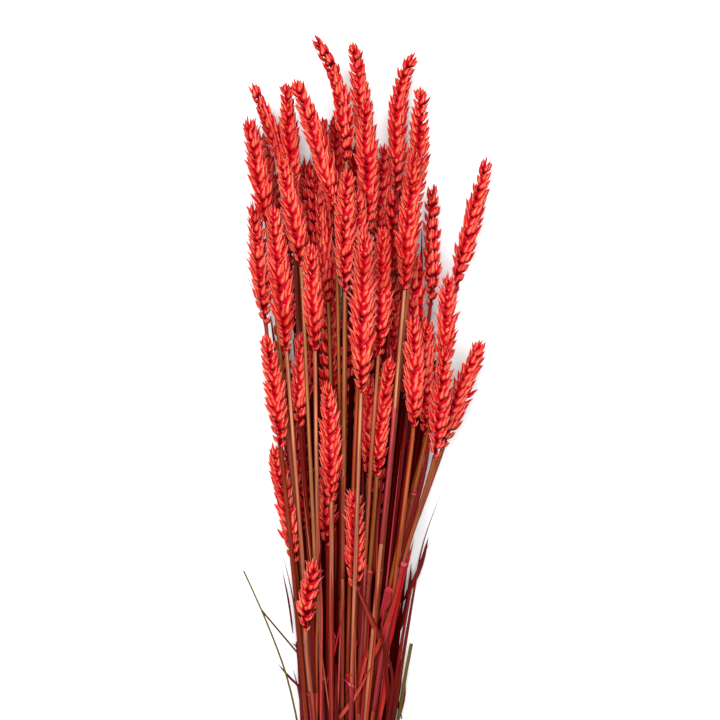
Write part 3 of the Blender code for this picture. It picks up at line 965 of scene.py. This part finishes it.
# How wide a ribbon is at shares of its length: drawn out to a point, a spindle, and a torn flag.
POINTED = ((0, 0.8), (0.1, 1), (0.5, 1), (0.85, 0.4), (1, 0.04))
SPINDLE = ((0, 0.3), (0.15, 0.9), (0.5, 1), (0.8, 0.6), (1, 0.05))
FLAG = ((0, 0.15), (0.35, 0.5), (0.85, 1), (1, 0.75))


def add_ribbon(bm, line, half, tint, turn, profile=POINTED):
    """A ribbon along a line, turning as it goes. Its profile gives widths along it."""
    count = max(8, int((line.high - line.low) / STATION_STEP))
    heights = np.linspace(line.low, line.high, count)
    stations = []
    for share, height in zip(np.linspace(0, 1, count), heights):
        width = half * float(np.interp(share, *zip(*profile)))
        angle = turn + LEAF_TURN * math.sin(2.5 * share + turn)
        side = Vector((math.cos(angle), 0, math.sin(angle)))
        stations.append(upright(line.at(height), line.heading(height), side, width))
    sweep(bm, stations, list(heights - line.low), LEAF_SIDES, tint, flat_section)


def make_leaf(node):
    strip, bm = Strip(node), bmesh.new()
    half, tint = LEAF_SPREAD * strip.half, rng.uniform(0.3, 1.0)
    add_ribbon(bm, strip.line, half, tint, rng.uniform(-0.25, 0.25))
    return finish_piece(node + "_dressed", bm, [leaf_finish], [node])


leaves = [make_leaf(node) for node in nodes_named("dry_leaf")]
print(len(leaves), "leaf strips")

# %% [markdown]
# ## What lies behind
# Between and under the straws that carry ears lie more of them, broken off among the ears, and
# long dry leaf blades. Each starts in a gap of the tie or at a sheath mouth and heads for its
# own place. Then all are pushed apart in small steps, level by level, until they lie clear of
# the straws, the ears, the table and each other, which is how they settled in the real bunch.

# %% Room for more strands
LEVELS = np.arange(min(stalk.low for stalk in stalks), max(stalk.tip for stalk in stalks), STATION_STEP)
EASE_ROUNDS, LAST_ROUNDS = 70, 6
EASE_GAP = 0.12 * MM
LARGEST_PUSH = 1.5 * MM
PUSH_SHARE, SMOOTH_SHARE, RECALL_SHARE = 0.8, 0.3, 0.01
RISE = 2 * MM
EAR_SHARE = 0.3


def stalk_reach(stalk):
    """The room that a stalk takes at each level."""
    straw = np.array([stalk.straw_radius(level) for level in LEVELS]) * FREE_SHARE
    in_ear = (LEVELS > stalk.neck) & (LEVELS <= stalk.tip)
    straw = np.where(in_ear, stalk.reach * EAR_SHARE, straw)
    return np.where((LEVELS >= stalk.low) & (LEVELS <= stalk.tip), straw, -1.0)


fixed_places = np.stack([stalk.line.level_points(LEVELS)[:, ::2] for stalk in stalks])
fixed_reach = np.stack([stalk_reach(stalk) for stalk in stalks])


def ease_clear(places, reach):
    """Moves strands, given by a place and a reach at each level, clear of everything."""
    anchors = places.copy()
    rows = np.arange(len(places))
    for turn in range(EASE_ROUNDS):
        all_places = np.concatenate([fixed_places, places])
        all_reach = np.concatenate([fixed_reach, reach])
        gap = places[:, None] - all_places[None]
        distance = np.sqrt((gap**2).sum(-1)) + 1e-7
        short = reach[:, None] + all_reach[None] + EASE_GAP - distance
        short[rows, len(fixed_places) + rows] = 0.0
        here = (reach[:, None] > 0) & (all_reach[None] > 0)
        short = np.where(here, np.clip(short, 0.0, LARGEST_PUSH), 0.0)
        short[:, len(fixed_places):] *= 0.5
        places = places + PUSH_SHARE * (gap * (short / distance)[..., None]).sum(1)
        places[..., 1] = np.clip(places[..., 1], np.abs(reach), anchors[..., 1] + RISE)
        if turn < EASE_ROUNDS - LAST_ROUNDS:
            between = 0.5 * (places[:, :-2] + places[:, 2:])
            places[:, 1:-1] += SMOOTH_SHARE * (between - places[:, 1:-1])
            places += RECALL_SHARE * (anchors - places)
    return places


# %% [markdown]
# The hidden straws fan out evenly, low in the bunch, so that hardly a gap shows the table. Some
# of them still have an ear, and the list of tips says where each of these ends. The others are
# broken off. Leaf blades stand off from the sheaths.

# %% Hidden straws, ears and blades
HIDDEN_STRAWS = 60
HIDDEN_BLADES = 14
FAN_POWER = 1.3
HIDDEN_EAR = 76 * MM
HIDDEN_REACH = 6.6 * MM
HIDDEN_RADIUS, TIED_RADIUS = 1.3 * MM, 0.9 * MM
# Painted shade: the hidden ears get a dark tint.
HIDDEN_SHADE_TINT, HIDDEN_STEP = 0.9, 1.15
LOW, HIGH = 8 * MM, 34 * MM
FAN_LEFT, FAN_WIDTH = -37, 101
BROKEN_AT = (290, 390)
BLADE_LENGTHS = (60, 150)
BLADE_DRIFT, BLADE_BEND = 8 * MM, 100 * MM

# Each tip: across and along from the middle of the tie, in millimetres.
HIDDEN_TIPS = (
    (-36, 488), (-20, 506), (-5, 508), (9, 498), (24, 512), (36, 492), (48, 470),
    (-40, 420), (-24, 428), (-9, 424), (5, 410), (19, 424), (33, 420), (50, 426), (60, 404),
    (-26, 345), (0, 340), (26, 342), (46, 366),
)


def fan_path(start, end, high):
    """A path's place at each level, fanning out from a place in the tie to an end."""
    low = tie_middle.y
    share = np.clip((LEVELS - low) / (high - low), 0.0, 1.0)[:, None] ** FAN_POWER
    return np.array(start) + (np.array(end) - np.array(start)) * share


def tied_place(side):
    """A place inside the tie for a strand that goes to a side of the fan (0 left, 1 right)."""
    angle, arm = rng.uniform(0, math.tau), TIE_RADIUS * 0.78 * math.sqrt(rng.uniform(0, 1))
    x = tie_middle.x + arm * math.cos(angle) * 0.3 + (2 * side - 1) * TIE_RADIUS * 0.6
    return x, tie_middle.z + arm * math.sin(angle) * 0.7


def hidden_stalk(across_tie, along_tie):
    """The path and reach of a hidden stalk, from its gap in the tie to the tip of its ear."""
    top = tie_middle.y + along_tie * MM
    end = (tie_middle.x + across_tie * MM, rng.uniform(LOW, HIGH))
    path = fan_path(tied_place(0.45 + across_tie / 120), end, top)
    reach = np.where(LEVELS > top - HIDDEN_EAR, HIDDEN_REACH * EAR_SHARE, HIDDEN_RADIUS)
    return path, np.where(LEVELS <= top, reach, -1.0)


def hidden_straw(k):
    """The path and reach of one hidden straw, from its gap in the tie to its broken top."""
    side = (k + 0.5) / HIDDEN_STRAWS
    top = tie_middle.y + rng.uniform(*BROKEN_AT) * MM
    x = tie_middle.x + (FAN_LEFT + FAN_WIDTH * side + rng.normal(0, 1)) * MM
    end = (x, rng.uniform(LOW, HIGH))
    path = fan_path(tied_place(side), end, tie_middle.y + BROKEN_AT[1] * MM)
    radii = [TIED_RADIUS, rng.uniform(1.2, 1.7) * MM]
    reach = np.interp(LEVELS - tie_middle.y, [0, FREE_TO], radii)
    return path, np.where(LEVELS <= top, reach, -1.0)


def hidden_blade(k):
    """The path and reach of a leaf blade that stands off from a sheath's mouth."""
    stalk = stalks[(7 * k) % len(stalks)]
    mouth = mouths[stalk.node][0][0]
    angle = rng.uniform(-0.85, -0.15) * math.pi
    out = np.array((math.cos(angle), math.sin(angle)))
    start = stalk.line.level_points(LEVELS)[:, ::2] + out * stalk.radius_low
    bent = np.clip((LEVELS - mouth) / BLADE_BEND, 0, 1)[:, None]
    drift = bent * out * rng.uniform(0, 1) * BLADE_DRIFT
    top = mouth + rng.uniform(*BLADE_LENGTHS) * MM
    along = (LEVELS >= mouth - MOUTH_DEPTH) & (LEVELS <= top)
    reach = np.where(along, rng.uniform(0.9, 1.2) * MM, -1.0)
    return start + drift, reach


paths = [hidden_stalk(*tip) for tip in HIDDEN_TIPS]
paths += [hidden_straw(k) for k in range(HIDDEN_STRAWS)]
paths += [hidden_blade(k) for k in range(HIDDEN_BLADES)]
settled = ease_clear(np.stack([path for path, _ in paths]), np.stack([reach for _, reach in paths]))


class HiddenStrand:
    """The line of a settled strand, and for a hidden stalk also its ear."""

    def __init__(self, row):
        here = paths[row][1] > 0
        points = np.stack([settled[row][here, 0], LEVELS[here], settled[row][here, 1]], -1)
        self.line = Line(points, rounds=2)
        self.half = float(paths[row][1][here][0 if row < len(HIDDEN_TIPS) else -1])
        self.tip = self.line.high
        self.neck = self.tip - HIDDEN_EAR * rng.uniform(0.85, 1.15)
        self.reach = HIDDEN_REACH * rng.uniform(0.9, 1.1)
        self.rows = Vector((1, 0, rng.uniform(-0.8, 0.8))).normalized()

    def radius_at(self, height):
        return self.half * float(np.interp(height - tie_middle.y, [0, FREE_TO], [0.75, 1.0]))


def make_hidden_straw(strand, top, name):
    bm = bmesh.new()
    add_straw(bm, strand.line, strand.radius_at, strand.line.low, top, rng.uniform(0, 1))
    # Painted shade: the hidden straws are coloured nearly black.
    finish_piece(name, bm, [painted_shade_finish])


def make_hidden_stalk(strand, tag):
    make_hidden_straw(strand, strand.neck + NECK_SINK, f"low_straw_{tag}")
    ear = grow_ear(strand, HIDDEN_SHADE_TINT, HIDDEN_STEP)
    finish_piece(f"low_ear_{tag}", ear, [husk_finish])


def make_broken_straw(strand, tag):
    make_hidden_straw(strand, strand.line.high, f"broken_straw_{tag}")


def make_hidden_blade(strand, tag):
    bm, half, tint = bmesh.new(), LEAF_SPREAD * strand.half, rng.uniform(0, 0.9)
    add_ribbon(bm, strand.line, half, tint, rng.uniform(-0.5, 0.5), SPINDLE)
    finish_piece(f"leaf_blade_{tag}", bm, [leaf_finish])


first = 0
for make, count in (
    (make_hidden_stalk, len(HIDDEN_TIPS)),
    (make_broken_straw, HIDDEN_STRAWS),
    (make_hidden_blade, HIDDEN_BLADES),
):
    for k in range(count):
        make(HiddenStrand(first + k), f"{k + 1:02d}")
    first += count
print(len(paths), "strands behind")

# %% [markdown]
# Under everything, flat on the table, lie the broad dry blades of the lowest leaves. They are
# what shows wherever the straws leave a gap, and all but the outermost are coloured nearly black as
# painted shade.

# %% Leaves underneath
UNDER_LEAVES = 17
UNDER_HALF = 4.6 * MM
UNDER_FROM, UNDER_TO = 28 * MM, 470 * MM
UNDER_LEFT, UNDER_WIDTH = -46, 112
UNDER_STAGGER = 18 * MM
UNDER_SINK, UNDER_TIED_AT = 110 * MM, 9 * MM
UNDER_LAYERS = (1.6 * MM, 3.1 * MM)
UNDER_POINTS = 24
OUTER_SIDES = (0.1, 0.85)


def make_under_leaf(k):
    """One blade of the fan: side runs from 0 at the left to 1 at the right."""
    side = k / (UNDER_LEAVES - 1)
    bm = bmesh.new()
    reach = UNDER_TO * (1 - 0.13 * abs(2 * side - 1) ** 1.5) - UNDER_STAGGER * (k % 3)
    heights = np.linspace(UNDER_FROM, reach, UNDER_POINTS)
    fan = (heights / UNDER_TO) ** (1.6 - 0.35 * side)
    x = tie_middle.x + (side - 0.5) * 0.8 * TIE_RADIUS + fan * (UNDER_LEFT + UNDER_WIDTH * side) * MM
    z = np.interp(heights, [0, UNDER_SINK], [UNDER_TIED_AT, UNDER_LAYERS[k % 2]])
    line = Line(np.stack([x, tie_middle.y + heights, z], -1), rounds=1)
    add_ribbon(bm, line, UNDER_HALF, rng.uniform(0, 1), 0.0, SPINDLE)
    # Painted shade: all but the outermost blades are coloured nearly black.
    finish = painted_shade_finish if OUTER_SIDES[0] < side < OUTER_SIDES[1] else leaf_finish
    return finish_piece(f"under_leaf_{k + 1:02d}", bm, [finish])


under_leaves = [make_under_leaf(k) for k in range(UNDER_LEAVES)]
print(len(under_leaves), "leaves underneath")

# %% [markdown]
# Last come torn bits of leaf and sheath that lie on the straws, low in the bunch. They are short
# ribbons between two places, bent a little in the middle. How high each end lies is read from
# the straws below it. A few long thin strips lie over them at random.

# %% Torn bits
# Each bit: where it starts and ends (across and along from the middle of the tie), how far its
# middle is bent across, and half its width, all in millimetres, and its tint. A broad bit is
# torn off like a flag.
BROAD_BIT = 2.5
BIT_SINK, BIT_GAP = 8 * MM, 0.6 * MM
LEAF_BITS = (
    ((-23, 170), (-41, 186), -1.5, 0.9, 0.1), ((-25, 150), (-31, 182), 2.0, 0.7, 0.3),
    ((35, 158), (37, 192), 3.0, 1.2, 0.5), ((39, 150), (34, 184), -2.5, 1.0, 0.2),
    ((37, 150), (41, 178), 2.5, 0.8, 0.8), ((-31, 205), (-38, 246), 1.0, 0.7, 0.2),
    ((-6, 152), (-3, 182), 1.0, 1.2, 0.6), ((12, 160), (17, 205), 1.5, 1.5, 0.9),
    ((40, 226), (56, 267), 3.0, 1.7, 0.8), ((37, 205), (45, 250), 2.5, 1.5, 0.6),
)
SHEATH_BITS = (
    ((32, 180), (9, 240), 0.5, 1.7, 0.8), ((24.5, 215), (32, 236), 0.0, 4.4, 1.0),
    ((-4, 150), (19, 186), 2.0, 1.6, 0.8), ((20, 190), (40, 252), 2.0, 1.9, 0.4),
    ((30, 196), (46, 268), -2.0, 1.7, 0.6), ((10, 168), (26, 226), -1.5, 1.6, 0.75),
    ((3, 168), (5, 182), 0.5, 2.6, 0.7), ((24, 150), (29, 196), 1.5, 1.7, 0.5),
)
THIN_STRANDS = 14
THIN_LOW, THIN_HIGH = (95, 175), (225, 330)
THIN_ACROSS, THIN_FAN = (-17, 22), 1.7


def thin_strand():
    """A long thin strip that lies over the straws, a little askew."""
    low, high = rng.uniform(*THIN_LOW), rng.uniform(*THIN_HIGH)
    start = rng.uniform(*THIN_ACROSS)
    end = start * THIN_FAN + rng.normal(4, 7)
    bend, half, tint = rng.normal(0, 1.2), rng.uniform(0.45, 0.85), rng.uniform(0, 1)
    return (start, low), (end, high), bend, half, tint


def on_top(across_tie, along_tie):
    """The place on top of the straws at a place of the bunch."""
    place = from_tie(across_tie, along_tie, 0)
    tops = [tie_middle.z - BIT_SINK]
    for stalk in stalks:
        if stalk.low < place.y < stalk.neck:
            straw = stalk.line.at(place.y)
            if abs(straw.x - place.x) < 1.5 * stalk.straw_radius(place.y):
                tops.append(straw.z + stalk.straw_radius(place.y))
    return Vector((place.x, place.y, max(tops) + BIT_GAP))


def make_bits(name, rows, finish):
    bm = bmesh.new()
    for start, end, bend, half, tint in rows:
        profile = FLAG if half > BROAD_BIT else SPINDLE
        low, high = sorted((on_top(*start), on_top(*end)), key=lambda place: place.y)
        middle = 0.5 * (low + high)
        over = on_top(*((middle - tie_middle) / MM).xy)
        bent = Vector((middle.x + bend * MM, middle.y, max(middle.z, over.z)))
        add_ribbon(bm, Line([low, bent, high], rounds=3), half * MM, tint, 0.1, profile)
    finish_piece(name, bm, [finish])


thin_rows = [thin_strand() for _ in range(THIN_STRANDS)]
make_bits("torn_leaves", LEAF_BITS, leaf_finish)
make_bits("torn_sheaths", SHEATH_BITS, torn_finish)
make_bits("thin_straws", thin_rows[::2], pale_finish)
make_bits("thin_leaves", thin_rows[1::2], torn_finish)
print(len(LEAF_BITS) + len(SHEATH_BITS), "torn bits and", THIN_STRANDS, "thin strips")

# %% [markdown]
# ## The twine
# The tie is jute twine, wound four times and knotted on top. Each turn is made of two plies
# that twist round each other, so the twine's own line is followed first, and each ply then
# circles round it. The loose ends fray into single fibres.


# %% Twine
TURNS = 4
PLIES, PLY_SIDES = 2, 7
PLY_PITCH = 7 * MM
PLY_RADIUS, PLY_OFFSET = 0.56, 0.46
POINTS_A_TURN = 90
CORD_SIDE = Vector((0.2, 1, 0.3))
TWINE_RADIUS = 0.5 * (tie_high.y - tie_low.y) / TURNS
WOUND_RADIUS = TIE_RADIUS - TWINE_RADIUS


def make_twine_material():
    material, tree, surface = new_material("jute", 0.85, gloss=0.1)
    grain = attribute(tree, "grain")["Vector"]
    masks = fibres(tree, grain, 3.0, 300.0, 4.0)
    body = mixed(tree, masks["Fibre"], dye("8a6a40"), dye("c4a470"))
    colour = mixed(tree, times(tree, masks["Soak"], 0.4), body, dye("6c4c2c"))
    tree.links.new(colour, surface.inputs["Base Color"])
    bumped(tree, surface, masks["Height"], 0.3 * MM, strength=0.9)
    return material


twine_finish = make_twine_material()


def add_cord(bm, path, radius):
    """Twisted plies round a path of points."""
    path = [Vector(point) for point in path]
    steps = [(b - a).length for a, b in zip(path, path[1:])]
    alongs = [0.0] + list(np.cumsum(steps))
    for ply in range(PLIES):
        stations = []
        for k, (point, along) in enumerate(zip(path, alongs)):
            heading = path[min(k + 1, len(path) - 1)] - path[max(k - 1, 0)]
            angle = math.tau * (along / PLY_PITCH + ply / PLIES)
            around = Vector((math.cos(angle), math.sin(angle), 0))
            offset = (upright(point, heading, CORD_SIDE) @ around - point) * PLY_OFFSET * radius
            stations.append(upright(point + offset, heading, CORD_SIDE, PLY_RADIUS * radius))
        sweep(bm, stations, alongs, PLY_SIDES)


def wound_path():
    """Four turns round the bunch, starting and ending on top."""
    path = []
    for k in range(TURNS * POINTS_A_TURN + 1):
        angle = math.tau * k / POINTS_A_TURN
        along = (k / (TURNS * POINTS_A_TURN) - 0.5) * 2 * (TURNS - 1) * TWINE_RADIUS
        place = (math.sin(angle) * WOUND_RADIUS, along, math.cos(angle) * WOUND_RADIUS)
        path.append(tie_middle + Vector(place))
    return path


def curve_through(points, count):
    """Points of a smooth curve through a few points."""
    points = np.array(points)
    marks = np.linspace(0, len(points) - 1, count)
    path = np.stack([np.interp(marks, range(len(points)), row) for row in points.T], -1)
    for _ in range(count // 3):
        path[1:-1] += 0.4 * (0.5 * (path[:-2] + path[2:]) - path[1:-1])
    return path


# %% [markdown]
# The knot is one more cord, led twice round itself on top of the turns. It is given by a few
# points in millimetres, seen from above the tie, and smoothed.

# %% Knot and loose ends
KNOT = (
    (-16, -3.5, -1.2), (-9, -3.0, 1.2), (-3, -2.4, 2.2), (2, -3.6, 3.4), (3.6, 0, 3.8), (1.5, 3.4, 3.0),
    (-2.5, 3.0, 2.0), (-3.6, 0.2, 2.8), (-1.5, -2.4, 4.4), (2.4, -1.0, 4.8), (2.8, 2.6, 3.6),
    (6, 4.0, 2.4), (11, 4.6, 1.2), (16, 4.2, -1.4),
)
OTHER_LOOP = (
    (-4.4, 4.4, 1.6), (-1.0, 4.6, 3.2), (0.6, 1.2, 5.6), (0.2, -2.6, 5.2),
    (-2.6, -4.6, 2.6), (-7, -6.4, 1.4),
)
KNOT_POINTS = 90
KNOT_SHARE = 0.92
FRAYED, FRAY_SIDES = 9, 5
FRAY_LENGTH, FRAY_RADIUS = 5 * MM, 0.16 * MM


def add_fray(bm, end, way):
    """Single fibres that spread from a cord's end."""
    for _ in range(FRAYED):
        lean = Vector(rng.normal(0, 0.28, 3))
        stations = []
        for share in (0.0, 0.35, 0.7, 1.0):
            aim = way + lean * share
            size = FRAY_RADIUS * (1.2 - share)
            stations.append(upright(end + aim * share * FRAY_LENGTH, aim, UP, size))
        sweep(bm, stations, [0, 0.002, 0.004, 0.006], FRAY_SIDES)


def make_twine():
    bm = bmesh.new()
    top = tie_middle + UP * WOUND_RADIUS
    add_cord(bm, wound_path(), TWINE_RADIUS)
    for points in (KNOT, OTHER_LOOP):
        path = [top + Vector(point) * MM for point in curve_through(points, KNOT_POINTS)]
        add_cord(bm, path, KNOT_SHARE * TWINE_RADIUS)
        for end, before in ((path[0], path[4]), (path[-1], path[-5])):
            add_fray(bm, end, (end - before).normalized())
    return finish_piece("twine", bm, [twine_finish], ["twine_tie"])


twine = make_twine()
print(len(twine.data.polygons), "faces in the twine")

# %% [markdown]
# ## The table and the light
# A plain pale table, one lamp above and a little behind the ears, whose wide disc gives soft
# shadows, and a weaker light from all round. The shade between the ears gives the bunch its
# depth, so the light all round stays low. The dye is very saturated, so the picture keeps its
# colours as they are, with no film curve over them.

# %% Table, lamp and room
TABLE_HALF = 6.0
TABLE_GAP = 0.5 * MM
TABLE_COLOUR = (0.9, 0.9, 0.9, 1)
LAMP_STRENGTH, LAMP_DISC = 5.2, 34
LAMP_FROM = Vector((-0.04, 0.10, 1.0))
ROOM_COLOUR, ROOM_STRENGTH = (1, 1, 1, 1), 0.26

floor_mesh = bpy.data.meshes.new("table")
floor_bm = bmesh.new()
bmesh.ops.create_grid(floor_bm, x_segments=1, y_segments=1, size=TABLE_HALF)
floor_bm.to_mesh(floor_mesh)
floor_bm.free()
floor = bpy.data.objects.new("table", floor_mesh)
floor.location = (0, 0, -TABLE_GAP)
bpy.context.scene.collection.objects.link(floor)
table_finish, _, table_surface = new_material("pale_table", 0.9)
table_surface.inputs["Base Color"].default_value = TABLE_COLOUR
floor_mesh.materials.append(table_finish)

sun_lamp = bpy.data.lights.new("studio", "SUN")
sun_lamp.energy, sun_lamp.angle = LAMP_STRENGTH, math.radians(LAMP_DISC)
studio = bpy.data.objects.new("studio", sun_lamp)
studio.rotation_euler = (-LAMP_FROM).to_track_quat("-Z", "Y").to_euler()
bpy.context.scene.collection.objects.link(studio)
world = bpy.data.worlds.new("room")
world.use_nodes = True
room_light = world.node_tree.nodes["Background"].inputs
room_light["Color"].default_value = ROOM_COLOUR
room_light["Strength"].default_value = ROOM_STRENGTH
bpy.context.scene.world = world
bpy.context.scene.view_settings.view_transform = "Standard"
